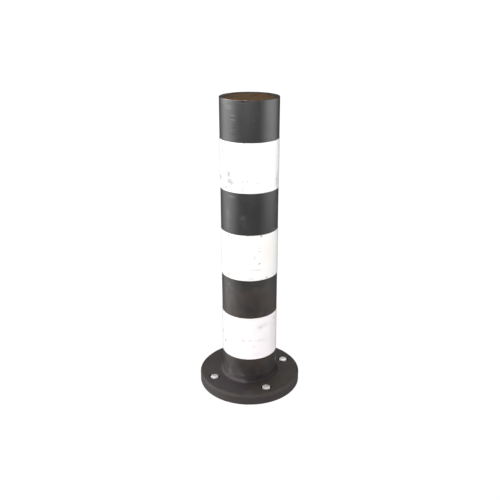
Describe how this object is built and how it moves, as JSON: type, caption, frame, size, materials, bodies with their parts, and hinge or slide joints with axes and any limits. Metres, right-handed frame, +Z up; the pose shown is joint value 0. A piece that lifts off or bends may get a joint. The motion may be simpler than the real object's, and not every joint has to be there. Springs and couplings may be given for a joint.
{
  "type": "bolt-down safety bollard",
  "caption": "Bolt-down steel safety bollard: a capped black post with white reflective bands, welded to a round chamfered base flange held by hex anchors in counterbores.",
  "frame": {"origin": "centre of the base flange's underside, on the ground", "axes": "+Z up along the post; the front of the object is its -Y side; the first anchor lies 25 degrees from +X towards +Y and the others follow at 90 degrees"},
  "size_m": [0.215, 0.215, 0.61],
  "materials": {
    "black_paint": "semi-gloss black paint, faintly scratched",
    "base_black": "satin black paint with a film of brown road dirt, worn on the chamfer",
    "weld": "rippled fillet weld under the black paint",
    "cap_weld": "dark weld bead with dirt in its toes",
    "rusty_cap": "bare steel gone brown with rust and dirt",
    "reflective_white": "white reflective sheeting with small scuffs and chipped edges",
    "zinc": "bright zinc-plated steel",
    "dark_zinc": "dulled zinc plating with dirt"
  },
  "bodies": {
    "root": {"base_flange": "base_black", "foot_weld": "weld", "post_tube": "black_paint", "top_cap": "rusty_cap", "cap_weld": "cap_weld", "white_band_lower": "reflective_white", "white_band_middle": "reflective_white", "white_band_upper": "reflective_white", "anchor_bolt_1": "zinc", "anchor_bolt_2": "zinc", "anchor_bolt_3": "zinc", "anchor_bolt_4": "zinc", "anchor_washer_1": "dark_zinc", "anchor_washer_2": "dark_zinc", "anchor_washer_3": "dark_zinc", "anchor_washer_4": "dark_zinc", "anchor_sleeve_1": "dark_zinc", "anchor_sleeve_2": "dark_zinc", "anchor_sleeve_3": "dark_zinc", "anchor_sleeve_4": "dark_zinc"}
  },
  "joints": []
}
